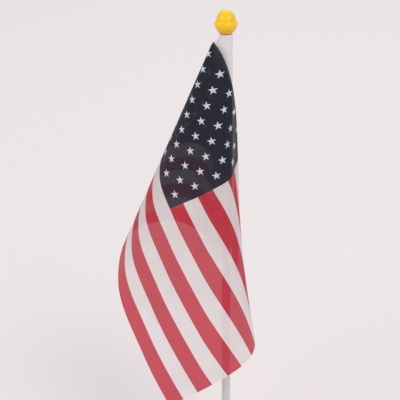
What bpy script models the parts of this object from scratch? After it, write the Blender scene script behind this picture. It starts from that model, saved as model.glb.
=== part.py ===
"""Desk flag stand: a weighted round base, a thin tube pole, a ball finial and a limp cloth flag.

Everything is in metres with +Z up. The pole's axis is the Z axis and the stand rests on z = 0.
The flag hangs from its top hoist corner like half a cone: every point of the cloth stays at its
flat distance from that corner, and the directions in which it hangs are the design values.
"""

import math

import bmesh
import bpy
from mathutils import Matrix, Vector

# Clearances
SEAT_GAP = 0.0003
SOCKET_CLEARANCE = 0.00015
SPIGOT_CLEARANCE = 0.00015
SLEEVE_EASE = 0.0008
SCREW_CLEARANCE = 0.0002

# Pole: a drawn plastic tube
POLE_DIAMETER = 0.0056
POLE_BORE = 0.0036
POLE_LENGTH = 0.300
POLE_EDGE_CHAMFER = 0.0003

# Finial: a ball in a flared cup, with a spigot that plugs into the tube
BALL_DIAMETER = 0.0116
CUP_RIM_DIAMETER = 0.0148
CUP_FOOT_DIAMETER = 0.0078
CUP_SHOULDER_DIAMETER = 0.0098
CUP_SHOULDER_HEIGHT = 0.0009
CUP_HEIGHT = 0.0062
CUP_LIP = 0.0007
BALL_ABOVE_FOOT = 0.0084
SPIGOT_LENGTH = 0.0080
SPIGOT_CHAMFER = 0.0005

# Base
BASE_DIAMETER = 0.072
BASE_WALL = 0.0018
BASE_RIM_HEIGHT = 0.0048
BASE_CROWN_HEIGHT = 0.0140
BASE_FLOOR_GAP = 0.0004
BOSS_DIAMETER = 0.0120
BOSS_DRAFT = 0.0006
BOSS_HEIGHT = 0.0260
BOSS_FILLET = 0.0022
SOCKET_FLOOR = 0.0014
SOCKET_CHAMFER = 0.0004
PAD_INSET = 0.0060
PAD_THICKNESS = 0.0010
COVER_THICKNESS = 0.0022
WEIGHT_SIDE_GAP = 0.0014
WEIGHT_THICKNESS = 0.0045
WEIGHT_CHAMFER = 0.0004

# Screws that hold the base cover
SCREW_COUNT = 3
FIRST_SCREW_BEARING = math.radians(90)
SCREW_SHANK_DIAMETER = 0.0020
SCREW_HEAD_DIAMETER = 0.0040
SCREW_HEAD_THICKNESS = 0.0010
SCREW_GRIP = 0.0030
SCREW_BOSS_DIAMETER = 0.0056
SCREW_BOSS_WALL_GAP = 0.0022
SCREW_SLOT_WIDTH = 0.0005
SCREW_SLOT_DEPTH = 0.0004

# Flag
FLAG_HOIST = 0.140
FLAG_FLY = 0.205
CLOTH_THICKNESS = 0.0005
SLEEVE_THICKNESS = 0.0005
SLEEVE_HEADROOM = 0.0030
CORNER_X = -0.0088
CORNER_Y = -0.0051
THREAD_WIDTH = 0.0006
THREAD_THICKNESS = 0.0003
THREAD_END_MARGIN = 0.0020

# How the cloth hangs. Bearings on the flat cloth run from 0 along the top edge to 90 down the
# hoist, in equal steps. For each one, the slant to the right and the slant away from the viewer,
# in degrees from straight down.
SLANT_RIGHT = (-4, -3, -1, -6, -12.5, -19.5, -18.5, -9, -2, 0)
SLANT_BACK = (32, 21, 7, 0, 0.5, 5, 14.5, 17, 10, 0)
# Close to the corner the top edge swings out round the sleeve, and far from it a fold flares.
SWING_SPREAD = 26.0
CORNER_SWING_RIGHT = 43.0
CORNER_SWING_BACK = -46.0
CORNER_SWING_REACH = 0.034
FLARE_BEARING = 16.0
FLARE_SPREAD = 14.0
FLARE_RIGHT = 12.0
FLARE_BACK = -11.0
FLARE_REACH = 0.200

# Smoothness of the meshes
SHARP_ANGLE = math.radians(35)
MERGE_DISTANCE = 1e-6
POLE_SIDES = 32
FINIAL_SIDES = 32
BASE_SIDES = 48
SCREW_SIDES = 16
ARC_STEPS = 4
DOME_STEPS = 9
BALL_STEPS = 12
CLOTH_COLUMNS = 30
CLOTH_ROWS = 20
RAY_STEP = 0.004

# Radii and heights that follow from the values above
POLE_RADIUS = POLE_DIAMETER / 2
BASE_RADIUS = BASE_DIAMETER / 2
BASE_INNER_RADIUS = BASE_RADIUS - BASE_WALL
SCREW_CIRCLE_RADIUS = BASE_INNER_RADIUS - SCREW_BOSS_WALL_GAP - SCREW_BOSS_DIAMETER / 2
WEIGHT_RADIUS = SCREW_CIRCLE_RADIUS - SCREW_BOSS_DIAMETER / 2 - WEIGHT_SIDE_GAP
COVER_BOTTOM = PAD_THICKNESS + SEAT_GAP
COVER_TOP = COVER_BOTTOM + COVER_THICKNESS
WEIGHT_BOTTOM = COVER_TOP + SEAT_GAP
SOCKET_BOTTOM = COVER_TOP + SEAT_GAP + SOCKET_FLOOR
SOCKET_RADIUS = POLE_RADIUS + SOCKET_CLEARANCE
HUB_RADIUS = SOCKET_RADIUS + BASE_WALL
POLE_BOTTOM = SOCKET_BOTTOM + SEAT_GAP
POLE_TOP = POLE_BOTTOM + POLE_LENGTH
SLEEVE_TOP = POLE_TOP + SEAT_GAP + SLEEVE_THICKNESS
FINIAL_FOOT = SLEEVE_TOP + SEAT_GAP
SLEEVE_INNER_RADIUS = POLE_RADIUS + SLEEVE_EASE
SLEEVE_OUTER_RADIUS = SLEEVE_INNER_RADIUS + SLEEVE_THICKNESS
CORNER = Vector((CORNER_X, CORNER_Y, SLEEVE_TOP - SLEEVE_HEADROOM))


def clear_scene():
    for old in list(bpy.data.objects):
        bpy.data.objects.remove(old, do_unlink=True)


def make_material(name, colour, roughness, metallic=0.0):
    material = bpy.data.materials.new(name)
    material.use_nodes = True
    shader = material.node_tree.nodes["Principled BSDF"]
    shader.inputs["Base Color"].default_value = (*colour, 1.0)
    shader.inputs["Roughness"].default_value = roughness
    shader.inputs["Metallic"].default_value = metallic
    return material


def add_object(name, bm, material, smooth=True):
    bmesh.ops.recalc_face_normals(bm, faces=bm.faces)
    mesh = bpy.data.meshes.new(name)
    bm.to_mesh(mesh)
    bm.free()
    if smooth:
        mesh.shade_smooth()
        mesh.set_sharp_from_angle(angle=SHARP_ANGLE)
    obj = bpy.data.objects.new(name, mesh)
    bpy.context.scene.collection.objects.link(obj)
    if material:
        mesh.materials.append(material)
    return obj


def turned(profile, sides):
    """Spins a closed outline of (radius, height) points round the Z axis."""
    bm = bmesh.new()
    ring = [bm.verts.new((radius, 0.0, height)) for radius, height in profile]
    edges = []
    for start, end in zip(ring, ring[1:] + ring[:1]):
        on_axis = start.co.x == 0.0 and end.co.x == 0.0
        if not on_axis:
            edges.append(bm.edges.new((start, end)))
    bmesh.ops.spin(
        bm,
        geom=ring + edges,
        axis=(0, 0, 1),
        cent=(0, 0, 0),
        angle=math.tau,
        steps=sides,
        use_merge=True,
    )
    bmesh.ops.remove_doubles(bm, verts=bm.verts, dist=MERGE_DISTANCE)
    return bm


def arc(centre, radius, start, end, steps=ARC_STEPS):
    """Points of an arc in the (radius, height) plane, angles in degrees."""
    points = []
    for step in range(steps + 1):
        angle = math.radians(start + (end - start) * step / steps)
        points.append((centre[0] + radius * math.cos(angle), centre[1] + radius * math.sin(angle)))
    return points


def block(name, size, matrix, material=None):
    bm = bmesh.new()
    bmesh.ops.create_cube(bm, size=1.0, matrix=matrix @ Matrix.Diagonal((*size, 1.0)))
    return add_object(name, bm, material, smooth=False)


def combine(target, tool, operation):
    tool.hide_render = True
    tool.display_type = "WIRE"
    modifier = target.modifiers.new(operation.lower(), "BOOLEAN")
    modifier.operation = operation
    modifier.object = tool


def screw_places():
    places = []
    for index in range(SCREW_COUNT):
        angle = FIRST_SCREW_BEARING + math.tau * index / SCREW_COUNT
        places.append((SCREW_CIRCLE_RADIUS * math.cos(angle), SCREW_CIRCLE_RADIUS * math.sin(angle)))
    return places


def dome_height(radius, inner_radius, outer_radius, low, high):
    """Height of a quarter-ellipse crown that falls from the boss out to the rim."""
    share = (radius - inner_radius) / (outer_radius - inner_radius)
    return low + (high - low) * math.sqrt(max(0.0, 1.0 - share * share))


def dome(inner_radius, outer_radius, low, high, steps):
    points = []
    for step in range(steps + 1):
        angle = math.radians(90) * step / steps
        radius = inner_radius + (outer_radius - inner_radius) * math.sin(angle)
        points.append((radius, dome_height(radius, inner_radius, outer_radius, low, high)))
    return points


def build_base_shell(material):
    boss_radius = BOSS_DIAMETER / 2
    foot_radius = boss_radius + BOSS_FILLET
    roof = BASE_CROWN_HEIGHT - BASE_WALL
    hub_bottom = SOCKET_BOTTOM - SOCKET_FLOOR
    profile = [(0.0, SOCKET_BOTTOM), (SOCKET_RADIUS, SOCKET_BOTTOM)]
    profile.append((SOCKET_RADIUS, BOSS_HEIGHT - SOCKET_CHAMFER))
    profile.append((SOCKET_RADIUS + SOCKET_CHAMFER, BOSS_HEIGHT))
    top_round = boss_radius - BOSS_DRAFT - SOCKET_RADIUS - 2 * SOCKET_CHAMFER
    profile += arc((boss_radius - BOSS_DRAFT - top_round, BOSS_HEIGHT - top_round), top_round, 90, 0)
    profile += arc((foot_radius, BASE_CROWN_HEIGHT + BOSS_FILLET), BOSS_FILLET, 180, 270)
    profile += dome(foot_radius, BASE_RADIUS, BASE_RIM_HEIGHT, BASE_CROWN_HEIGHT, DOME_STEPS)[1:]
    profile.append((BASE_RADIUS, BASE_FLOOR_GAP + SEAT_GAP))
    profile.append((BASE_RADIUS - SEAT_GAP, BASE_FLOOR_GAP))
    profile.append((BASE_INNER_RADIUS, BASE_FLOOR_GAP))
    inner = dome(HUB_RADIUS, BASE_INNER_RADIUS, BASE_RIM_HEIGHT, roof, DOME_STEPS)
    profile += reversed(inner)
    profile += [(HUB_RADIUS, hub_bottom), (0.0, hub_bottom)]
    shell = add_object("base_shell", turned(profile, BASE_SIDES), material)
    roof_here = dome_height(SCREW_CIRCLE_RADIUS, HUB_RADIUS, BASE_INNER_RADIUS, BASE_RIM_HEIGHT, roof)
    post_radius = SCREW_BOSS_DIAMETER / 2
    post_bottom = COVER_TOP + SEAT_GAP
    post_top = roof_here + BASE_WALL / 2
    hole_radius = SCREW_SHANK_DIAMETER / 2 + SCREW_CLEARANCE
    hole_top = COVER_TOP + SCREW_GRIP + SEAT_GAP
    post = [(hole_radius, post_bottom), (post_radius, post_bottom), (post_radius, post_top), (0.0, post_top)]
    post += [(0.0, hole_top), (hole_radius, hole_top)]
    for index, place in enumerate(screw_places(), start=1):
        screw_boss = add_object(f"screw_boss_{index}", turned(post, SCREW_SIDES), None)
        screw_boss.location = (*place, 0.0)
        combine(shell, screw_boss, "UNION")
    return shell


def build_base_weight(material):
    radius = WEIGHT_RADIUS
    bore = HUB_RADIUS + SEAT_GAP
    top = WEIGHT_BOTTOM + WEIGHT_THICKNESS
    cut = WEIGHT_CHAMFER
    profile = [(bore, WEIGHT_BOTTOM + cut), (bore + cut, WEIGHT_BOTTOM)]
    profile += [(radius - cut, WEIGHT_BOTTOM), (radius, WEIGHT_BOTTOM + cut)]
    profile += [(radius, top - cut), (radius - cut, top)]
    profile += [(bore + cut, top), (bore, top - cut)]
    return add_object("base_weight", turned(profile, BASE_SIDES), material)


def build_base_cover(material):
    radius = BASE_INNER_RADIUS - SEAT_GAP
    cut = WEIGHT_CHAMFER
    profile = [(0.0, COVER_BOTTOM), (radius - cut, COVER_BOTTOM), (radius, COVER_BOTTOM + cut)]
    profile += [(radius, COVER_TOP), (0.0, COVER_TOP)]
    cover = add_object("base_cover", turned(profile, BASE_SIDES), material)
    shank_radius = SCREW_SHANK_DIAMETER / 2 + SCREW_CLEARANCE
    head_radius = SCREW_HEAD_DIAMETER / 2 + SCREW_CLEARANCE
    below = COVER_BOTTOM - SEAT_GAP
    above = COVER_TOP + SEAT_GAP
    shoulder = COVER_BOTTOM + SCREW_HEAD_THICKNESS + SEAT_GAP
    stepped = [(0.0, below), (head_radius, below), (head_radius, shoulder), (shank_radius, shoulder)]
    stepped += [(shank_radius, above), (0.0, above)]
    for index, place in enumerate(screw_places(), start=1):
        hole = add_object(f"screw_hole_{index}", turned(stepped, SCREW_SIDES), None)
        hole.location = (*place, 0.0)
        combine(cover, hole, "DIFFERENCE")
    return cover


def build_base_screws(material):
    head_radius = SCREW_HEAD_DIAMETER / 2
    shank_radius = SCREW_SHANK_DIAMETER / 2
    shoulder = COVER_BOTTOM + SCREW_HEAD_THICKNESS
    tip = COVER_TOP + SCREW_GRIP
    cut = SCREW_CLEARANCE
    profile = [(0.0, COVER_BOTTOM), (head_radius - cut, COVER_BOTTOM), (head_radius, COVER_BOTTOM + cut)]
    profile += [(head_radius, shoulder), (shank_radius, shoulder)]
    profile += [(shank_radius, tip - shank_radius / 2), (shank_radius / 2, tip), (0.0, tip)]
    for index, place in enumerate(screw_places(), start=1):
        screw = add_object(f"base_screw_{index}", turned(profile, SCREW_SIDES), material)
        screw.location = (*place, 0.0)
        slot_place = Matrix.Translation((*place, COVER_BOTTOM))
        slot_size = (SCREW_HEAD_DIAMETER * 2, SCREW_SLOT_WIDTH, SCREW_SLOT_DEPTH * 2)
        combine(screw, block(f"screw_slot_{index}", slot_size, slot_place), "DIFFERENCE")


def build_base_pad(material):
    radius = BASE_RADIUS - PAD_INSET
    profile = [(0.0, 0.0), (radius, 0.0), (radius, PAD_THICKNESS), (0.0, PAD_THICKNESS)]
    return add_object("base_pad", turned(profile, BASE_SIDES), material)


def build_pole(material):
    bore = POLE_BORE / 2
    cut = POLE_EDGE_CHAMFER
    profile = [(bore, POLE_BOTTOM), (POLE_RADIUS - cut, POLE_BOTTOM), (POLE_RADIUS, POLE_BOTTOM + cut)]
    profile += [(POLE_RADIUS, POLE_TOP - cut), (POLE_RADIUS - cut, POLE_TOP), (bore, POLE_TOP)]
    return add_object("pole", turned(profile, POLE_SIDES), material)


def build_finial(material):
    ball_radius = BALL_DIAMETER / 2
    centre = FINIAL_FOOT + BALL_ABOVE_FOOT
    rim = FINIAL_FOOT + CUP_HEIGHT
    rim_radius = CUP_RIM_DIAMETER / 2
    spigot = POLE_BORE / 2 - SPIGOT_CLEARANCE
    bottom = FINIAL_FOOT - SPIGOT_LENGTH
    profile = [(0.0, bottom), (spigot - SPIGOT_CHAMFER, bottom), (spigot, bottom + SPIGOT_CHAMFER)]
    profile += [(spigot, FINIAL_FOOT), (CUP_FOOT_DIAMETER / 2, FINIAL_FOOT)]
    profile.append((CUP_SHOULDER_DIAMETER / 2, FINIAL_FOOT + CUP_SHOULDER_HEIGHT))
    profile.append((rim_radius, rim - CUP_LIP))
    profile.append((rim_radius - CUP_LIP / 3, rim))
    contact = math.degrees(math.asin((rim - CUP_LIP - centre) / ball_radius))
    profile += arc((0.0, centre), ball_radius, contact, 90, BALL_STEPS)[:-1]
    profile.append((0.0, centre + ball_radius))
    return add_object("finial", turned(profile, FINIAL_SIDES), material)


def blend(values, position):
    """Catmull-Rom curve through equally spaced values; position 0 is the first of them."""
    last = len(values) - 1
    index = min(int(position), last - 1)
    share = position - index
    before = values[index - 1] if index > 0 else 2 * values[0] - values[1]
    start = values[index]
    end = values[index + 1]
    after = values[index + 2] if index + 2 <= last else 2 * values[last] - values[last - 1]
    return 0.5 * (
        2 * start
        + (end - before) * share
        + (2 * before - 5 * start + 4 * end - after) * share**2
        + (3 * start - before - 3 * end + after) * share**3
    )


def hang_direction(bearing, distance):
    """Unit vector in which the cloth runs, at a bearing in degrees and a distance from the corner."""
    position = bearing / 90 * (len(SLANT_RIGHT) - 1)
    near = math.exp(-((bearing / SWING_SPREAD) ** 2) - distance / CORNER_SWING_REACH)
    flare = math.exp(-(((bearing - FLARE_BEARING) / FLARE_SPREAD) ** 2)) * (distance / FLARE_REACH) ** 2
    right = blend(SLANT_RIGHT, position) + CORNER_SWING_RIGHT * near + FLARE_RIGHT * flare
    back = blend(SLANT_BACK, position) + CORNER_SWING_BACK * near + FLARE_BACK * flare
    right = math.radians(right)
    back = math.radians(back)
    return Vector((math.sin(right) * math.cos(back), math.sin(back), -math.cos(right) * math.cos(back)))


def hung_point(along_fly, down_hoist):
    """Where a point of the flat cloth hangs, by walking out from the corner in small steps."""
    reach = math.hypot(along_fly, down_hoist)
    if reach == 0.0:
        return CORNER.copy()
    bearing = math.degrees(math.atan2(down_hoist, along_fly))
    steps = max(1, math.ceil(reach / RAY_STEP))
    stride = reach / steps
    point = CORNER.copy()
    for step in range(steps):
        point += hang_direction(bearing, (step + 0.5) * stride) * stride
    return point


def build_flag_cloth(material):
    bm = bmesh.new()
    grid = []
    for row in range(CLOTH_ROWS + 1):
        down = FLAG_HOIST * row / CLOTH_ROWS
        line = []
        for column in range(CLOTH_COLUMNS + 1):
            along = FLAG_FLY * column / CLOTH_COLUMNS
            line.append(bm.verts.new(hung_point(along, down)))
        grid.append(line)
    for upper, lower in zip(grid, grid[1:]):
        for column in range(CLOTH_COLUMNS):
            bm.faces.new((upper[column], lower[column], lower[column + 1], upper[column + 1]))
    cloth = add_object("flag_cloth", bm, material)
    skin = cloth.modifiers.new("thickness", "SOLIDIFY")
    skin.thickness = CLOTH_THICKNESS
    skin.offset = 0.0
    return cloth


def seam_frame():
    """Matrix with +X from the pole's axis out to the flag's hoist edge, at the flag's top corner."""
    return Matrix.Translation((0.0, 0.0, CORNER.z)) @ Matrix.Rotation(math.atan2(CORNER.y, CORNER.x), 4, "Z")


def build_flag_sleeve(material):
    inner = SLEEVE_INNER_RADIUS
    outer = SLEEVE_OUTER_RADIUS
    bottom = CORNER.z - FLAG_HOIST
    under_cap = SLEEVE_TOP - SLEEVE_THICKNESS
    eye = POLE_BORE / 2 + SPIGOT_CLEARANCE
    profile = [(inner, bottom), (outer, bottom), (outer, SLEEVE_TOP - SLEEVE_THICKNESS)]
    profile += [(outer - SLEEVE_THICKNESS, SLEEVE_TOP), (eye, SLEEVE_TOP)]
    profile += [(eye, under_cap), (inner, under_cap)]
    sleeve = add_object("flag_sleeve", turned(profile, POLE_SIDES), material)
    start = (inner + outer) / 2
    end = math.hypot(CORNER.x, CORNER.y) - CLOTH_THICKNESS - SEAT_GAP
    middle = Matrix.Translation(((start + end) / 2, 0.0, -FLAG_HOIST / 2))
    margin = block("seam_margin", (end - start, SLEEVE_THICKNESS, FLAG_HOIST), seam_frame() @ middle)
    combine(sleeve, margin, "UNION")
    return sleeve


def build_sleeve_stitching(material):
    across = (SLEEVE_OUTER_RADIUS + math.hypot(CORNER.x, CORNER.y)) / 2
    aside = SLEEVE_THICKNESS / 2 + SEAT_GAP + THREAD_THICKNESS / 2
    length = FLAG_HOIST - 2 * THREAD_END_MARGIN
    place = seam_frame() @ Matrix.Translation((across, aside, -FLAG_HOIST / 2))
    return block("sleeve_stitching", (THREAD_WIDTH, THREAD_THICKNESS, length), place, material)


def main():
    clear_scene()
    white_plastic = make_material("white_plastic", (0.80, 0.79, 0.78), 0.35)
    pole_plastic = make_material("pole_plastic", (0.74, 0.74, 0.75), 0.30)
    yellow_plastic = make_material("yellow_plastic", (0.90, 0.52, 0.02), 0.18)
    steel = make_material("plated_steel", (0.60, 0.60, 0.61), 0.35, 1.0)
    foam = make_material("black_foam", (0.05, 0.05, 0.05), 0.90)
    white_cloth = make_material("white_cloth", (0.82, 0.80, 0.81), 0.80)
    flag_cloth = make_material("printed_cloth", (0.60, 0.08, 0.10), 0.75)
    thread = make_material("white_thread", (0.85, 0.84, 0.84), 0.70)
    build_base_shell(white_plastic)
    build_base_weight(steel)
    build_base_cover(white_plastic)
    build_base_screws(steel)
    build_base_pad(foam)
    build_pole(pole_plastic)
    build_finial(yellow_plastic)
    build_flag_sleeve(white_cloth)
    build_flag_cloth(flag_cloth)
    build_sleeve_stitching(thread)


main()
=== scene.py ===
"""Looks of the desk flag stand: printed cloth, sewn sleeve, tube pole, ball finial and weighted base."""

import math

import bmesh
import bpy
import numpy as np
from mathutils import Matrix, Vector


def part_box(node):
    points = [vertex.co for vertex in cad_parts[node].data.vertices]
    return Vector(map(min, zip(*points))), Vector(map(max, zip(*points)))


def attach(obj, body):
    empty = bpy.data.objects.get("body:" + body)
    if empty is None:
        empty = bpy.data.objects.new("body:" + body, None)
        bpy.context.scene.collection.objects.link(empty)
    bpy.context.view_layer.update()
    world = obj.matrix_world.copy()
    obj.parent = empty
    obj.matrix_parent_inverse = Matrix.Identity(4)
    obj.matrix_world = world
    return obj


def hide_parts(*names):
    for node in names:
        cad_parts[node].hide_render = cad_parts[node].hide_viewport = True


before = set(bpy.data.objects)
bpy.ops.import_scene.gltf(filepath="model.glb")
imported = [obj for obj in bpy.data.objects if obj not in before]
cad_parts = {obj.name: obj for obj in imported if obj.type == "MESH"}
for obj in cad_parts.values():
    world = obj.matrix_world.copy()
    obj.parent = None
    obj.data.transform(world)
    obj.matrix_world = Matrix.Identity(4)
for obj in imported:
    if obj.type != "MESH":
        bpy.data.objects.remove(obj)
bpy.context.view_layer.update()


# ---------------------------------------------------------------- sizes

# The flag as it is cut and printed. The canton runs on a little way into the seam and the top
# hem, and its stars are set out from there.
FLAG_HOIST = 0.140
FLAG_FLY = 0.205
PRINTED_FLY = 0.210
STRIPES = 13
CANTON_STRIPES = 7
CANTON_FLY = 0.4 * PRINTED_FLY
STAR_COLUMNS = 11
STAR_ROWS = 9
CAUGHT_IN_SEAM = 0.0016
CAUGHT_IN_HEM = 0.0012
STAR_RADIUS = 0.00285
STAR_INNER = 0.385

# Where it hangs from: the top hoist corner, beside the sleeve
SLEEVE_LOW, SLEEVE_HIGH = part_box("flag_sleeve")
POLE_LOW, POLE_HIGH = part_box("pole")
CORNER = Vector((-0.0079, -0.0061, SLEEVE_LOW.z + FLAG_HOIST))

# How the cloth hangs. Bearings on the flat cloth run from 0 along the top edge to 90 down the
# hoist, in equal steps. For each one, the slant to the right and the slant to the back, in degrees
# from straight down. The cloth near the top edge swings out of these slants beside the corner,
# and flares far from it.
SLANT_RIGHT = (-2, 1.8, 4, -3.5, -12.5, -20.3, -21, -11.5, -3.5, 0)
SLANT_BACK = (24.5, 11, -0.5, -4.5, -2, 4, 14, 17.5, 10.5, 0)
SWING_SPREAD = 16.0
CORNER_SWING_RIGHT = 44.0
CORNER_SWING_BACK = -34.5
CORNER_SWING_REACH = 0.0235
FLARE_BEARING = 16.0
FLARE_SPREAD = 14.0
FLARE_RIGHT = 4.5
FLARE_BACK = 2.5
FLARE_REACH = 0.200
CLOTH_COLUMNS = 164
CLOTH_ROWS = 112
RAY_STEPS = 64

# Print and cloth finish: linear colours, sizes in metres
CUT_MAP = "flag_cut"
CLOTH_PITCH = 0.00040
INK_SPREAD = 0.00008
CUT_EDGE = 0.0006
CLOTH_COVER = 0.90
GLOW_SHARE = 0.25
WHITE_INK = (0.80, 0.765, 0.765)
RED_INK = (0.57, 0.028, 0.052)
NAVY_INK = (0.011, 0.015, 0.030)
STAR_INK = (0.80, 0.80, 0.88)
GLOWS = ((0.82, 0.77, 0.78), (0.60, 0.05, 0.10), (0.013, 0.015, 0.034))

# Sleeve, seam and stitches
SLEEVE_RADIUS = 0.0041
SLEEVE_WALL = 0.00035
SLEEVE_ROUND = 0.0005
SLEEVE_SIDES = 60
SLEEVE_LOOP = 104
SLEEVE_STEP = 0.0010
SLEEVE_DARK = (0.69, 0.668, 0.675)
SLEEVE_LIGHT = (0.75, 0.733, 0.74)
SEAM_ROOT = 0.0066
SEAM_TIP = math.hypot(CORNER.x, CORNER.y) + 0.0001
SEAM_HALF = 0.00025
LINING_HALF = 0.00005
MARGIN_BLEND = 0.0006
LINING_BELOW_TOP = 0.0020
CREASE_DEPTH = 0.00016
HEM_WIDTH = 0.0045
HEM_RISE = 0.00012
HEM_EDGE = 0.0004
EYE_RADIUS = 0.00195
TOP_INSET = 0.0004
TOP_DIP = 0.00004
STITCH_ACROSS = 0.0071
STITCH_PITCH = 0.0025
STITCH_MARGIN = 0.0020
STITCH_STEPS = 8
STITCH_SHARE = 0.44
STITCH_RISE = 1.6
STITCH_SINK = 0.9
STITCH_LEAN = 0.6
THREAD_RADIUS = 0.00014
THREAD_SIDES = 8
THREAD_TWIST = 0.00028
THREAD_LAY = 1.6
THREAD_DARK = (0.78, 0.76, 0.76)
THREAD_LIGHT = (0.90, 0.89, 0.89)

# Pole and finial
SEAT_GAP = 0.0003
POLE_BORE = 0.0036
POLE_EDGE = 0.0003
POLE_SIDES = 72
POLE_STEPS = 12
POLE_DARK = (0.58, 0.565, 0.57)
POLE_LIGHT = (0.63, 0.62, 0.625)
POLE_GLOSS = 0.30
SPIGOT_CLEARANCE = 0.00015
SPIGOT_CHAMFER = 0.0005
EDGE_ROUND = 0.0002
NECK_ROUND = 0.0003
BALL_DIAMETER = 0.0116
CUP_HEIGHT = 0.0062
CUP_LIP = 0.0005
CUP_FOOT_DIAMETER = 0.0078
CUP_SHOULDER_DIAMETER = 0.0098
CUP_SHOULDER_HEIGHT = 0.0009
CUP_BELLY = 0.00025
CUP_BELLY_OUT = 0.6
CUP_STEPS = 8
FILLET_STEPS = 10
FINIAL_SIDES = 96
FILLET_BEARING = 0.0
FILLET_BEND = 0.0004
PARTING_BEARING = 20.0
PARTING_HALF = 0.6
PARTING_REACH = 1.6
PARTING_DEPTH = 0.00004
YELLOW_DEEP = (0.88, 0.53, 0.001)
YELLOW_BRIGHT = (0.92, 0.61, 0.002)
# Painted shade at the finial's foot: darker and more orange than the rest of the yellow
YELLOW_FOOT_SHADE = (0.80, 0.33, 0.004)
YELLOW_GLOSS = 0.13

# Base: the rings are how far apart the tool marks on the steel are
WHITE_DARK = (0.78, 0.77, 0.765)
WHITE_LIGHT = (0.83, 0.825, 0.82)
WHITE_GLOSS = 0.34
WEIGHT_TONE = (0.56, 0.56, 0.57)
WEIGHT_RINGS = 0.0006
WEIGHT_GLOSS = 0.30
SCREW_TONE = (0.62, 0.62, 0.64)
SCREW_RINGS = 0.0003
SCREW_GLOSS = 0.24
DULLED = 0.82
FOAM_SKIN = (0.035, 0.035, 0.037)
FOAM_DUST = (0.075, 0.073, 0.070)

# Studio: a softbox is its name, place, width, height, power and colour, aimed at the flag
FLOOR_RINGS = (0.2, 1.0, 4.0, 9.0)
FLOOR_SIDES = 96
FLOOR_TONE = (0.80, 0.765, 0.77)
FIBRE_TONE = tuple(c * 1.01 for c in FLOOR_TONE)
AIR_COLOUR = (1.0, 0.975, 0.98)
AIR_STRENGTH = 0.69
LIGHT_AIM = (0.0, 0.0, 0.2)
SOFTBOXES = (
    ("key_softbox", (0.9, -1.1, 1.5), 1.2, 1.0, 11.0, (1.0, 0.99, 0.98)),
    ("fill_softbox", (-1.3, -0.9, 1.1), 1.2, 1.0, 7.2, (0.98, 0.99, 1.0)),
    ("back_softbox", (0.2, 1.4, 1.5), 1.6, 1.0, 8.0, (1.0, 1.0, 1.0)),
)
CAMERA_SENSOR = 36.0
CAMERA_CLIP = (0.01, 50.0)
CAMERA_PITCH = 24.0
CAMERA_DISTANCE = 0.850
CAMERA_SHIFT = -0.0648
CAMERA_LENS = 120.1
AIM_BELOW_CORNER = 0.1071


# ---------------------------------------------------------------- shader maths


class Socket:
    """A shader socket with arithmetic: an expression on sockets adds the Math nodes it needs."""

    def __init__(self, tree, socket):
        self.tree = tree
        self.socket = socket

    def math(self, operation, *values):
        return node(self.tree, "ShaderNodeMath", {"operation": operation}, dict(enumerate(values)))

    def __add__(self, other):
        return self.math("ADD", self, other)

    def __sub__(self, other):
        return self.math("SUBTRACT", self, other)

    def __mul__(self, other):
        return self.math("MULTIPLY", self, other)

    def __truediv__(self, other):
        return self.math("DIVIDE", self, other)

    def __radd__(self, other):
        return self.math("ADD", other, self)

    def __rsub__(self, other):
        return self.math("SUBTRACT", other, self)

    def __rmul__(self, other):
        return self.math("MULTIPLY", other, self)

    def __rtruediv__(self, other):
        return self.math("DIVIDE", other, self)

    def __lt__(self, other):
        return self.math("LESS_THAN", self, other)

    def __gt__(self, other):
        return self.math("GREATER_THAN", self, other)

    def cos(self):
        return self.math("COSINE", self)

    def sin(self):
        return self.math("SINE", self)

    def least(self, other):
        return self.math("MINIMUM", self, other)

    def most(self, other):
        return self.math("MAXIMUM", self, other)

    def size(self):
        return self.math("ABSOLUTE", self)

    def angle_to(self, other):
        return self.math("ARCTAN2", self, other)

    def root(self):
        return self.math("SQRT", self)

    def modulo(self, other):
        return self.math("FLOORED_MODULO", self, other)

    def ramp(self, low, high, low_value=0.0, high_value=1.0):
        """A smooth step from low_value at low to high_value at high."""
        settings = {"interpolation_type": "SMOOTHSTEP"}
        values = {"Value": self, "From Min": low, "From Max": high}
        values |= {"To Min": low_value, "To Max": high_value}
        return node(self.tree, "ShaderNodeMapRange", settings, values)


def node(tree, kind, settings=None, values=None, output=0):
    """Any node: its settings first, then the values or links of its sockets. Returns one output."""
    made = tree.nodes.new(kind)
    for name, value in (settings or {}).items():
        setattr(made, name, value)
    for key, value in (values or {}).items():
        socket = made.inputs[key]
        if isinstance(value, Socket):
            tree.links.new(value.socket, socket)
        elif isinstance(value, tuple) and len(value) == 3 and socket.type == "RGBA":
            socket.default_value = (*value, 1.0)
        else:
            socket.default_value = value
    return Socket(tree, made.outputs[output])


# ---------------------------------------------------------------- materials

# Outputs, and inputs that share a name with others, are reached by their number
OBJECT_PLACE = 3
MIX_FACTOR, MIX_FIRST, MIX_SECOND, MIX_RESULT = 0, 6, 7, 2


def new_material(name):
    material = bpy.data.materials.new(name)
    material.use_nodes = True
    material.node_tree.nodes.clear()
    return material, material.node_tree


def principled(tree, values):
    return node(tree, "ShaderNodeBsdfPrincipled", {}, values)


def finish_material(tree, shader):
    node_out = tree.nodes.new("ShaderNodeOutputMaterial")
    tree.links.new(shader.socket, node_out.inputs["Surface"])


def object_place(tree):
    return node(tree, "ShaderNodeTexCoord", output=OBJECT_PLACE)


def split(tree, vector):
    parts = node(tree, "ShaderNodeSeparateXYZ", {}, {"Vector": vector})
    return [Socket(tree, output) for output in parts.socket.node.outputs]


def noise(tree, place, scale, detail=2.0, roughness=0.5):
    values = {"Vector": place, "Scale": scale, "Detail": detail, "Roughness": roughness}
    return node(tree, "ShaderNodeTexNoise", {"noise_dimensions": "3D"}, values)


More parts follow.
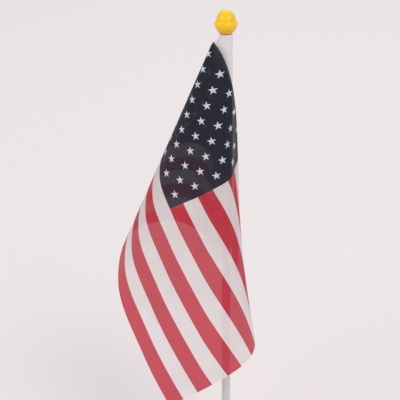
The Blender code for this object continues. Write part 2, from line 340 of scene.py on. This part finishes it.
def colour_mix(tree, factor, first, second):
    settings = {"data_type": "RGBA", "clamp_factor": True}
    values = {MIX_FACTOR: factor, MIX_FIRST: first, MIX_SECOND: second}
    return node(tree, "ShaderNodeMix", settings, values, output=MIX_RESULT)


def shade(tree, colour, amount):
    """Multiplies a colour by a number that varies over the surface."""
    grey = node(tree, "ShaderNodeCombineColor", {}, {"Red": amount, "Green": amount, "Blue": amount})
    settings = {"data_type": "RGBA", "blend_type": "MULTIPLY"}
    values = {MIX_FACTOR: 1.0, MIX_FIRST: colour, MIX_SECOND: grey}
    return node(tree, "ShaderNodeMix", settings, values, output=MIX_RESULT)


def shader_mix(tree, factor, first, second):
    return node(tree, "ShaderNodeMixShader", {}, {0: factor, 1: first, 2: second})


def bump(tree, height, strength, distance):
    return node(tree, "ShaderNodeBump", {}, {"Height": height, "Strength": strength, "Distance": distance})


def weave_height(tree, along, across, pitch):
    """Plain weave: the two thread directions pass over and under each other in turn."""
    turn_along = along * (math.tau / pitch)
    turn_across = across * (math.tau / pitch)
    over = turn_along.cos() * turn_across.cos()
    ribs = (turn_along * 2.0).cos() + (turn_across * 2.0).cos()
    return over * 0.6 + ribs * 0.2


def star_mask(tree, column, row, pitch_x, pitch_y):
    """1 inside the stars of one set of columns and rows that are two steps apart."""
    across = (column.modulo(2.0) - 1.0) * pitch_x
    down = (row.modulo(2.0) - 1.0) * pitch_y
    reach = (across * across + down * down).root()
    bearing = across.angle_to(down * -1.0)
    point = math.tau / 5
    folded = ((bearing + point / 2).modulo(point) - point / 2).size()
    along = reach * folded.cos()
    aside = reach * folded.sin()
    valley_x = STAR_RADIUS * STAR_INNER * math.cos(point / 2)
    valley_y = STAR_RADIUS * STAR_INNER * math.sin(point / 2)
    normal_length = math.hypot(valley_y, STAR_RADIUS - valley_x)
    outside = (along - STAR_RADIUS) * (valley_y / normal_length)
    outside = outside + aside * ((STAR_RADIUS - valley_x) / normal_length)
    return outside.ramp(-INK_SPREAD, INK_SPREAD, 1.0, 0.0)


def between(value, low, high):
    return (value > low) * (value < high)


def flag_print(tree):
    """Places along the fly and down the hoist in metres, masks that are 1 on red stripes, in the canton
    and on its stars, and the distance to the nearest edge."""
    place = node(tree, "ShaderNodeUVMap", {"uv_map": CUT_MAP})
    fly, hoist, _ = split(tree, place)
    fly = fly * FLAG_FLY
    hoist = (1 - hoist) * FLAG_HOIST
    stripe = FLAG_HOIST / STRIPES
    in_pair = (hoist + stripe / 2).modulo(2 * stripe)
    from_middle = (in_pair - stripe).size()
    red = from_middle.ramp(stripe / 2 - INK_SPREAD, stripe / 2 + INK_SPREAD, 1.0, 0.0)
    canton_hoist = CANTON_STRIPES * stripe
    inside_fly = fly.ramp(CANTON_FLY - INK_SPREAD, CANTON_FLY + INK_SPREAD, 1.0, 0.0)
    inside_hoist = hoist.ramp(canton_hoist - INK_SPREAD, canton_hoist + INK_SPREAD, 1.0, 0.0)
    canton = inside_fly * inside_hoist
    pitch_x = (CANTON_FLY + CAUGHT_IN_SEAM) / (STAR_COLUMNS + 1)
    pitch_y = (canton_hoist + CAUGHT_IN_HEM) / (STAR_ROWS + 1)
    column = (fly + CAUGHT_IN_SEAM) / pitch_x
    row = (hoist + CAUGHT_IN_HEM) / pitch_y
    odd = star_mask(tree, column, row, pitch_x, pitch_y)
    even = star_mask(tree, column + 1.0, row + 1.0, pitch_x, pitch_y)
    even = even * between(column, 1.0, float(STAR_COLUMNS)) * between(row, 1.0, float(STAR_ROWS))
    stars = odd.most(even) * canton
    edge = fly.least(FLAG_FLY - fly).least(hoist).least(FLAG_HOIST - hoist)
    return fly, hoist, red, canton, stars, edge


def printed_cloth():
    material, tree = new_material("printed_polyester")
    fly, hoist, red, canton, stars, edge = flag_print(tree)
    place = object_place(tree)
    mottle = noise(tree, place, 60.0, 3.0).ramp(0.3, 0.7, 0.96, 1.04)
    threads = weave_height(tree, fly, hoist, CLOTH_PITCH)
    ink = colour_mix(tree, red, WHITE_INK, RED_INK)
    ink = colour_mix(tree, canton, ink, NAVY_INK)
    ink = colour_mix(tree, stars, ink, STAR_INK)
    # The print mottles at random, and the weave adds painted shade: the ink is lighter on the raised
    # crossings of the threads and darker in the hollows between them
    ink = shade(tree, ink, mottle * (threads * 0.03 + 1.0))
    sealed = edge.ramp(0.0, CUT_EDGE, 1.0, 0.0)
    surface = bump(tree, threads + sealed * 2.0, 0.35, CLOTH_PITCH / 4)
    values = {
        "Base Color": ink,
        "Roughness": noise(tree, place, 400.0).ramp(0.3, 0.7, 0.62, 0.74) - sealed * 0.15,
        "Normal": surface,
        "Alpha": CLOTH_COVER,
        "Specular IOR Level": 0.25,
        "Sheen Weight": 0.08,
        "Sheen Roughness": 0.4,
    }
    front = principled(tree, values)
    glow = [node(tree, "ShaderNodeBsdfTranslucent", {}, {"Color": c}) for c in GLOWS]
    through = shader_mix(tree, red, glow[0], glow[1])
    through = shader_mix(tree, canton, through, glow[2])
    through = shader_mix(tree, stars, through, glow[0])
    finish_material(tree, shader_mix(tree, GLOW_SHARE, front, through))
    return material


def white_cloth():
    """The plain woven sleeve: threads run round it and along it."""
    material, tree = new_material("sleeve_polyester")
    place = object_place(tree)
    x, y, z = split(tree, place)
    around = x.angle_to(y) * SLEEVE_RADIUS
    threads = weave_height(tree, around, z, CLOTH_PITCH)
    crease = noise(tree, place, 220.0, 4.0, 0.6)
    tint = colour_mix(tree, crease, SLEEVE_DARK, SLEEVE_LIGHT)
    surface = bump(tree, threads, 0.4, CLOTH_PITCH / 4)
    # Painted shade from the weave: the colour is lighter on the raised crossings of the threads and darker
    # in the hollows between them
    values = {
        "Base Color": shade(tree, tint, threads * 0.025 + 1.0),
        "Roughness": crease.ramp(0.3, 0.7, 0.66, 0.80),
        "Normal": surface,
        "Specular IOR Level": 0.25,
        "Sheen Weight": 0.1,
    }
    finish_material(tree, principled(tree, values))
    return material


def sewing_thread():
    material, tree = new_material("spun_sewing_thread")
    place = object_place(tree)
    x, y, z = split(tree, place)
    twist = ((x + y + z * THREAD_LAY) * (math.tau / THREAD_TWIST)).cos()
    fuzz = noise(tree, place, 3000.0, 3.0)
    tint = colour_mix(tree, fuzz, THREAD_DARK, THREAD_LIGHT)
    # Painted shade from the twist: the colour is darker in the grooves between the twisted strands
    values = {
        "Base Color": shade(tree, tint, twist * 0.06 + 0.97),
        "Roughness": fuzz.ramp(0.2, 0.8, 0.55, 0.75),
        "Normal": bump(tree, twist, 0.5, 0.00004),
    }
    finish_material(tree, principled(tree, values))
    return material


def moulded_plastic(name, dark, light, gloss, grain=900.0, shine=0.5, bleed=0.0, streak=None, foot=None):
    """Moulded plastic with fine pores, faint clouding and a little handling wear. It may let light
    bleed in, be drawn into fine streaks, and take a painted shade that darkens its colour towards its
    foot."""
    material, tree = new_material(name)
    place = object_place(tree)
    clouds = noise(tree, place, 90.0, 3.0)
    pores = noise(tree, place, grain, 2.0)
    scuffs = noise(tree, place, 300.0, 5.0, 0.7).ramp(0.58, 0.75)
    colour = colour_mix(tree, clouds.ramp(0.3, 0.7), dark, light)
    height = pores
    # Painted shade: towards the foot the colour turns darker and more orange, standing in for shade and
    # for light bounced inside the cup
    if foot:
        tone, low, high = foot
        colour = colour_mix(tree, split(tree, place)[2].ramp(low, high), tone, colour)
    if streak:
        x, y, z = split(tree, place)
        drawn = node(tree, "ShaderNodeCombineXYZ", {}, {"X": x, "Y": y, "Z": z * 0.02})
        lines = noise(tree, drawn, streak, 2.0)
        colour = shade(tree, colour, lines.ramp(0.3, 0.7, 0.97, 1.02))
        height = pores * 0.4 + lines
    values = {
        "Base Color": colour,
        "Roughness": pores.ramp(0.3, 0.7, gloss - 0.03, gloss + 0.03) + scuffs * 0.14,
        "Normal": bump(tree, height, 0.12, 0.00005),
        "Specular IOR Level": shine,
    }
    if bleed:
        values["Subsurface Weight"] = bleed
        values["Subsurface Radius"] = (0.6, 0.35, 0.1)
        values["Subsurface Scale"] = 0.0012
    finish_material(tree, principled(tree, values))
    return material


def turned_steel(name, tone, rings, gloss):
    """Turned and plated steel: fine concentric tool marks, dull spots in the plating."""
    material, tree = new_material(name)
    place = object_place(tree)
    x, y, z = split(tree, place)
    marks = ((x * x + y * y).root() * (math.tau / rings)).cos()
    spots = noise(tree, place, 700.0, 4.0, 0.6)
    dull = tuple(c * DULLED for c in tone)
    values = {
        "Base Color": colour_mix(tree, spots.ramp(0.35, 0.7), tone, dull),
        "Metallic": 1.0,
        "Roughness": spots.ramp(0.3, 0.75, gloss, gloss + 0.18),
        "Normal": bump(tree, marks + spots, 0.25, 0.00003),
    }
    finish_material(tree, principled(tree, values))
    return material


def foam():
    """Closed-cell foam: small round cells, a matt skin and patches of grey dust."""
    material, tree = new_material("closed_cell_foam")
    place = object_place(tree)
    cells = node(tree, "ShaderNodeTexVoronoi", {"feature": "F1"}, {"Vector": place, "Scale": 1600.0})
    dust = noise(tree, place, 240.0, 4.0)
    values = {
        "Base Color": colour_mix(tree, dust.ramp(0.45, 0.8), FOAM_SKIN, FOAM_DUST),
        "Roughness": cells.ramp(0.0, 0.8, 0.95, 0.80),
        "Normal": bump(tree, cells, 0.5, 0.0002),
    }
    finish_material(tree, principled(tree, values))
    return material


def studio_floor():
    material, tree = new_material("matt_paper")
    place = object_place(tree)
    fibres = noise(tree, place, 500.0, 4.0)
    values = {
        "Base Color": colour_mix(tree, fibres, FLOOR_TONE, FIBRE_TONE),
        "Roughness": fibres.ramp(0.2, 0.8, 0.85, 0.95),
        "Normal": bump(tree, fibres, 0.05, 0.0002),
        "Specular IOR Level": 0.1,
    }
    finish_material(tree, principled(tree, values))
    return material


# ---------------------------------------------------------------- mesh helpers


def add_piece(name, bm, material, smooth_angle=40):
    bmesh.ops.recalc_face_normals(bm, faces=bm.faces)
    mesh = bpy.data.meshes.new(name)
    bm.to_mesh(mesh)
    bm.free()
    mesh.shade_smooth()
    if smooth_angle:
        mesh.set_sharp_from_angle(angle=math.radians(smooth_angle))
    piece = bpy.data.objects.new(name, mesh)
    bpy.context.scene.collection.objects.link(piece)
    mesh.materials.append(material)
    return piece


def skin_rings(bm, rings, closed_ring=True, closed_loop=False):
    """Joins rings of vertices, in order, with quads."""
    pairs = list(zip(rings, rings[1:]))
    if closed_loop:
        pairs.append((rings[-1], rings[0]))
    for lower, upper in pairs:
        count = len(lower)
        for index in range(count if closed_ring else count - 1):
            after = (index + 1) % count
            bm.faces.new((lower[index], lower[after], upper[after], upper[index]))


def turned(profile, sides):
    """Turns an open or closed outline of (radius, height) points, ending on the axis or not."""
    bm = bmesh.new()
    rings = []
    for radius, height in profile:
        if radius <= 0.0:
            rings.append([bm.verts.new((0.0, 0.0, height))])
            continue
        ring = []
        for side in range(sides):
            angle = math.tau * side / sides
            ring.append(bm.verts.new((radius * math.cos(angle), radius * math.sin(angle), height)))
        rings.append(ring)
    for lower, upper in zip(rings, rings[1:]):
        for index in range(sides):
            after = (index + 1) % sides
            corners = [lower[index % len(lower)], lower[after % len(lower)]]
            corners += [upper[after % len(upper)], upper[index % len(upper)]]
            bm.faces.new(list(dict.fromkeys(corners)))
    return bm


def arc(centre, radius, start, end, steps):
    """Points of an arc in the (radius, height) plane, angles in degrees."""
    points = []
    for step in range(steps + 1):
        angle = math.radians(start + (end - start) * step / steps)
        points.append((centre[0] + radius * math.cos(angle), centre[1] + radius * math.sin(angle)))
    return points


# ---------------------------------------------------------------- flag cloth


def blend(values, position):
    """Catmull-Rom curve through equally spaced values; position 0 is the first of them."""
    first = [2 * values[0] - values[1]]
    last = [2 * values[-1] - values[-2]]
    padded = np.array(first + list(values) + last, float)
    index = np.minimum(position.astype(int), len(values) - 2)
    share = position - index
    before, start, end, after = (padded[index + shift] for shift in range(4))
    return 0.5 * (
        2 * start
        + (end - before) * share
        + (2 * before - 5 * start + 4 * end - after) * share**2
        + (3 * start - before - 3 * end + after) * share**3
    )


def hang_direction(bearing, distance):
    """Unit vectors in which the cloth runs, at bearings in degrees and distances from the corner."""
    position = bearing / 90 * (len(SLANT_RIGHT) - 1)
    near = np.exp(-((bearing / SWING_SPREAD) ** 2) - distance / CORNER_SWING_REACH)
    flare = np.exp(-(((bearing - FLARE_BEARING) / FLARE_SPREAD) ** 2)) * (distance / FLARE_REACH) ** 2
    right = np.radians(blend(SLANT_RIGHT, position) + CORNER_SWING_RIGHT * near + FLARE_RIGHT * flare)
    back = np.radians(blend(SLANT_BACK, position) + CORNER_SWING_BACK * near + FLARE_BACK * flare)
    parts = (np.sin(right) * np.cos(back), np.sin(back), -np.cos(right) * np.cos(back))
    return np.stack(parts, axis=-1)


def hung_points(along_fly, down_hoist):
    """Where points of the flat cloth hang, by walking out from the corner in small steps."""
    reach = np.hypot(along_fly, down_hoist)
    bearing = np.degrees(np.arctan2(down_hoist, along_fly))
    points = np.tile(np.array(CORNER), (*reach.shape, 1))
    for step in range(RAY_STEPS):
        distance = (step + 0.5) / RAY_STEPS * reach
        points += hang_direction(bearing, distance) * (reach / RAY_STEPS)[..., None]
    return points


def build_flag_cloth():
    along = np.linspace(0.0, FLAG_FLY, CLOTH_COLUMNS + 1)
    down = np.linspace(0.0, FLAG_HOIST, CLOTH_ROWS + 1)
    along_fly, down_hoist = np.meshgrid(along, down)
    points = hung_points(along_fly, down_hoist)
    bm = bmesh.new()
    cut_map = bm.loops.layers.uv.new(CUT_MAP)
    grid = [[bm.verts.new(point) for point in line] for line in points]
    for row in range(CLOTH_ROWS):
        for column in range(CLOTH_COLUMNS):
            places = ((row, column), (row + 1, column), (row + 1, column + 1), (row, column + 1))
            face = bm.faces.new([grid[r][c] for r, c in places])
            for loop, (r, c) in zip(face.loops, places):
                loop[cut_map].uv = (c / CLOTH_COLUMNS, 1 - r / CLOTH_ROWS)
    cloth = add_piece("printed_flag", bm, printed_cloth(), smooth_angle=None)
    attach(cloth, "flag")
    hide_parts("flag_cloth")
    return cloth


# ---------------------------------------------------------------- sleeve


def seam_place(across, aside, height):
    """A point given by how far it is from the pole's axis towards the flag's hoist edge, and how far to
    the left of that line, seen from above."""
    bearing = math.atan2(CORNER.y, CORNER.x)
    x = across * math.cos(bearing) - aside * math.sin(bearing)
    y = across * math.sin(bearing) + aside * math.cos(bearing)
    return Vector((x, y, height))


def even_loop(outline, count):
    """Points evenly spaced along a closed outline, from its first point."""
    closed = np.array(outline + outline[:1], float)
    lengths = np.hypot(*np.diff(closed, axis=0).T)
    walked = np.concatenate([[0.0], np.cumsum(lengths)])
    places = np.linspace(0.0, walked[-1], count, endpoint=False)
    return np.stack([np.interp(places, walked, closed[:, axis]) for axis in (0, 1)], axis=1)


def teardrop(radius, root, tip, half_thickness):
    """Outline of cloth wrapped round the pole: a round part, two tangents and the flat seam margin."""
    corner = math.hypot(root, half_thickness)
    contact = math.degrees(math.acos(radius / corner) + math.atan2(half_thickness, root))
    outline = [(tip, 0.0), (tip - half_thickness / 2, half_thickness), (root, half_thickness)]
    outline += arc((0.0, 0.0), radius, contact, 360 - contact, SLEEVE_SIDES)
    outline += [(root, -half_thickness), (tip - half_thickness / 2, -half_thickness)]
    return outline


def sleeve_slack(height, bearings):
    """How far the sleeve stands off its plain round shape, in metres: soft creases and a folded hem."""
    long_waves = np.sin(height * 210 + 3 * bearings) * np.sin(height * 83 + bearings * 2 + 1.3)
    short_waves = np.sin(height * 540 - 2 * bearings + 0.6) * np.sin(height * 131 + 0.4)
    hem = 0.5 + 0.5 * math.tanh((SLEEVE_LOW.z + HEM_WIDTH - height) / HEM_EDGE)
    return CREASE_DEPTH * (long_waves + 0.45 * short_waves) + HEM_RISE * hem


def build_sleeve():
    inner_radius = SLEEVE_RADIUS - SLEEVE_WALL
    outer = even_loop(teardrop(SLEEVE_RADIUS, SEAM_ROOT, SEAM_TIP, SEAM_HALF), SLEEVE_LOOP)
    inner = teardrop(inner_radius, SEAM_ROOT - SLEEVE_WALL, SEAM_ROOT, LINING_HALF)
    lining = even_loop(inner, SLEEVE_LOOP)
    bearings = math.tau * np.arange(SLEEVE_LOOP) / SLEEVE_LOOP
    circle = np.stack([np.cos(bearings), np.sin(bearings)], axis=1)
    round_share = np.clip((SEAM_ROOT - outer[:, 0]) / (SEAM_ROOT - SLEEVE_RADIUS * 0.5), 0.0, 1.0)
    bm = bmesh.new()
    rings = []

    def ring(points, height):
        rings.append([bm.verts.new(seam_place(x, y, height)) for x, y in points])

    margin_top = CORNER.z
    shoulder = SLEEVE_HIGH.z - SLEEVE_ROUND
    low = SLEEVE_LOW.z
    steps = round((shoulder - low) / SLEEVE_STEP)
    for step in range(steps + 1):
        height = low + (shoulder - low) * step / steps
        kept = 0.5 - 0.5 * math.tanh((height - margin_top) / MARGIN_BLEND)
        slack = (sleeve_slack(height, bearings) * round_share)[:, None]
        full = outer * (1 + slack / SLEEVE_RADIUS)
        bare = circle * (SLEEVE_RADIUS + slack)
        ring(full * kept + bare * (1 - kept), height)
    for radius, height in arc((SLEEVE_RADIUS - SLEEVE_ROUND, shoulder), SLEEVE_ROUND, 18, 90, 5):
        ring(circle * radius, height)
    for radius in np.linspace(SLEEVE_RADIUS - SLEEVE_ROUND - TOP_INSET, EYE_RADIUS, 4):
        ring(circle * radius, SLEEVE_HIGH.z - TOP_DIP)
    ring(circle * EYE_RADIUS, SLEEVE_HIGH.z - SLEEVE_WALL)
    ring(circle * inner_radius, SLEEVE_HIGH.z - SLEEVE_WALL)
    ring(circle * inner_radius, margin_top)
    ring(lining, margin_top - LINING_BELOW_TOP)
    ring(lining, low)
    skin_rings(bm, rings, closed_loop=True)
    sleeve = add_piece("sewn_sleeve", bm, white_cloth(), smooth_angle=60)
    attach(sleeve, "flag")
    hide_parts("flag_sleeve")
    return sleeve


def add_stitch(bm, middle, half_length, outward):
    """One stitch: a round thread that rises out of the cloth and dives back into it."""
    along = Vector((0.0, 0.0, 1.0))
    beside = along.cross(outward)
    rings = []
    for step in range(STITCH_STEPS + 1):
        turn = math.pi * step / STITCH_STEPS
        rise = THREAD_RADIUS * (STITCH_RISE * math.sin(turn) - STITCH_SINK)
        centre = middle + along * (-half_length * math.cos(turn)) + outward * rise
        ring = []
        for side in range(THREAD_SIDES):
            angle = math.tau * side / THREAD_SIDES
            lean = along * (math.cos(turn) * STITCH_LEAN) + outward * math.sin(turn)
            spoke = beside * math.cos(angle) + lean * math.sin(angle)
            ring.append(bm.verts.new(centre + THREAD_RADIUS * spoke))
        rings.append(ring)
    skin_rings(bm, rings)
    bm.faces.new(rings[0])
    bm.faces.new(rings[-1])


def build_stitches():
    bm = bmesh.new()
    start = SLEEVE_LOW.z + STITCH_MARGIN
    count = round((FLAG_HOIST - 2 * STITCH_MARGIN) / STITCH_PITCH)
    for index in range(count):
        height = start + (index + 0.5) * STITCH_PITCH
        for side in (1, -1):
            middle = seam_place(STITCH_ACROSS, side * SEAM_HALF, height)
            outward = seam_place(0.0, side, 0.0)
            add_stitch(bm, middle, STITCH_PITCH * STITCH_SHARE, outward)
    stitches = add_piece("seam_stitches", bm, sewing_thread(), smooth_angle=None)
    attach(stitches, "flag")
    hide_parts("sleeve_stitching")
    return stitches


# ---------------------------------------------------------------- pole and finial


def build_pole():
    radius = (POLE_HIGH.x - POLE_LOW.x) / 2
    bore = POLE_BORE / 2
    lip = POLE_EDGE
    low = POLE_LOW.z
    high = POLE_HIGH.z
    profile = arc((bore + lip, low + lip), lip, 180, 270, 4)
    profile += arc((radius - lip, low + lip), lip, 270, 360, 4)
    profile += [(radius, low + (high - low) * step / POLE_STEPS) for step in range(1, POLE_STEPS)]
    profile += arc((radius - lip, high - lip), lip, 0, 90, 4)
    profile += arc((bore + lip, high - lip), lip, 90, 180, 4)
    profile += profile[:1]
    bm = turned(profile, POLE_SIDES)
    bmesh.ops.remove_doubles(bm, verts=bm.verts, dist=1e-7)
    plastic = moulded_plastic("drawn_tube_plastic", POLE_DARK, POLE_LIGHT, POLE_GLOSS, streak=1100.0)
    pole = add_piece("tube_pole", bm, plastic, smooth_angle=60)
    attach(pole, "pole")
    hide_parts("pole")
    return pole


def build_finial():
    low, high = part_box("finial")
    foot = SLEEVE_HIGH.z + SEAT_GAP
    ball = BALL_DIAMETER / 2
    centre = high.z - ball
    rim = foot + CUP_HEIGHT
    rim_radius = (high.x - low.x) / 2
    spigot = POLE_BORE / 2 - SPIGOT_CLEARANCE
    lip = CUP_LIP / 2
    neck = CUP_FOOT_DIAMETER / 2
    shoulder = CUP_SHOULDER_DIAMETER / 2
    shoulder_height = foot + CUP_SHOULDER_HEIGHT
    chamfer = SPIGOT_CHAMFER
    profile = [(0.0, low.z), (spigot - chamfer, low.z), (spigot, low.z + chamfer)]
    profile += [(spigot, foot - EDGE_ROUND), (spigot + EDGE_ROUND, foot)]
    profile += [(neck - NECK_ROUND, foot), (neck, foot + EDGE_ROUND)]
    profile += [(shoulder, shoulder_height), (shoulder + EDGE_ROUND, shoulder_height + EDGE_ROUND)]
    for step in range(1, CUP_STEPS):
        share = step / CUP_STEPS
        radius = shoulder + (rim_radius - shoulder) * share
        sag = CUP_BELLY * math.sin(math.pi * share)
        height = shoulder_height + (rim - CUP_LIP - foot - CUP_SHOULDER_HEIGHT) * share
        profile.append((radius + sag * CUP_BELLY_OUT, height - sag))
    profile += arc((rim_radius - lip, rim - lip), lip, -40, 80, 8)
    meets = arc((0.0, centre), ball, FILLET_BEARING, FILLET_BEARING, 1)[0]
    bend = (meets[0] + FILLET_BEND, rim + 2 * FILLET_BEND)
    start = (rim_radius - lip * 0.8, rim)
    for step in range(1, FILLET_STEPS):
        share = step / FILLET_STEPS
        weights = ((1 - share) ** 2, 2 * share * (1 - share), share**2)
        curve = list(zip(weights, (start, bend, meets)))
        profile.append(tuple(sum(w * point[axis] for w, point in curve) for axis in (0, 1)))
    parting = PARTING_BEARING
    profile += arc((0.0, centre), ball, FILLET_BEARING, parting - PARTING_REACH, 8)
    groove = ball - PARTING_DEPTH
    profile += arc((0.0, centre), groove, parting - PARTING_HALF, parting + PARTING_HALF, 2)
    profile += arc((0.0, centre), ball, parting + PARTING_REACH, 88, 26)
    profile.append((0.0, centre + ball))
    bm = turned(profile, FINIAL_SIDES)
    tones = (YELLOW_DEEP, YELLOW_BRIGHT)
    # The foot entry paints shade on the finial: darker and more orange from the rim down to its foot
    finish = {"grain": 500.0, "shine": 0.40, "bleed": 0.08, "foot": (YELLOW_FOOT_SHADE, foot, rim)}
    yellow = moulded_plastic("glossy_yellow_plastic", *tones, YELLOW_GLOSS, **finish)
    finial = add_piece("ball_finial", bm, yellow, smooth_angle=50)
    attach(finial, "finial")
    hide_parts("finial")
    return finial


# ---------------------------------------------------------------- base, floor, light and camera


def finish_base():
    """The base's own solids keep their shape and take their finishes."""
    white = moulded_plastic("moulded_white_plastic", WHITE_DARK, WHITE_LIGHT, WHITE_GLOSS, grain=1300.0)
    weight = turned_steel("plated_weight_steel", WEIGHT_TONE, WEIGHT_RINGS, WEIGHT_GLOSS)
    screws = turned_steel("zinc_plated_steel", SCREW_TONE, SCREW_RINGS, SCREW_GLOSS)
    pad = foam()
    finishes = {"base_shell": white, "base_cover": white, "base_weight": weight, "base_pad": pad}
    for index in (1, 2, 3):
        finishes[f"base_screw_{index}"] = screws
    for name, material in finishes.items():
        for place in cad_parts[name].material_slots:
            place.material = material


def build_floor():
    bm = bmesh.new()
    rings = []
    for radius in FLOOR_RINGS:
        circle = [math.tau * side / FLOOR_SIDES for side in range(FLOOR_SIDES)]
        rings.append([bm.verts.new((radius * math.cos(a), radius * math.sin(a), 0.0)) for a in circle])
    bm.faces.new(rings[0])
    skin_rings(bm, rings)
    for face in bm.faces:
        if face.normal.z < 0:
            face.normal_flip()
    floor = add_piece("studio_floor", bm, studio_floor(), smooth_angle=None)
    return floor


def add_softbox(name, place, width, height, power, colour):
    light = bpy.data.lights.new(name, "AREA")
    light.shape = "RECTANGLE"
    light.size = width
    light.size_y = height
    light.energy = power
    light.color = colour
    lamp = bpy.data.objects.new(name, light)
    bpy.context.scene.collection.objects.link(lamp)
    lamp.location = place
    lamp.rotation_euler = (Vector(LIGHT_AIM) - Vector(place)).to_track_quat("-Z", "Y").to_euler()
    return lamp


def build_light():
    world = bpy.data.worlds.new("studio_air")
    world.use_nodes = True
    air = world.node_tree.nodes["Background"]
    air.inputs["Color"].default_value = (*AIR_COLOUR, 1.0)
    air.inputs["Strength"].default_value = AIR_STRENGTH
    bpy.context.scene.world = world
    for softbox in SOFTBOXES:
        add_softbox(*softbox)


def build_camera():
    camera = bpy.data.cameras.new("studio_camera")
    camera.sensor_width = CAMERA_SENSOR
    camera.lens = CAMERA_LENS
    camera.shift_x = CAMERA_SHIFT
    camera.clip_start, camera.clip_end = CAMERA_CLIP
    holder = bpy.data.objects.new("studio_camera", camera)
    bpy.context.scene.collection.objects.link(holder)
    pitch = math.radians(CAMERA_PITCH)
    aim = Vector((0.0, 0.0, CORNER.z - AIM_BELOW_CORNER))
    holder.location = aim + CAMERA_DISTANCE * Vector((0.0, -math.cos(pitch), math.sin(pitch)))
    holder.rotation_euler = (math.radians(90) - pitch, 0.0, 0.0)
    bpy.context.scene.camera = holder
    bpy.context.scene.view_settings.view_transform = "Standard"


flag = build_flag_cloth()
sleeve = build_sleeve()
stitches = build_stitches()
build_pole()
build_finial()
finish_base()
build_floor()
build_light()
build_camera()
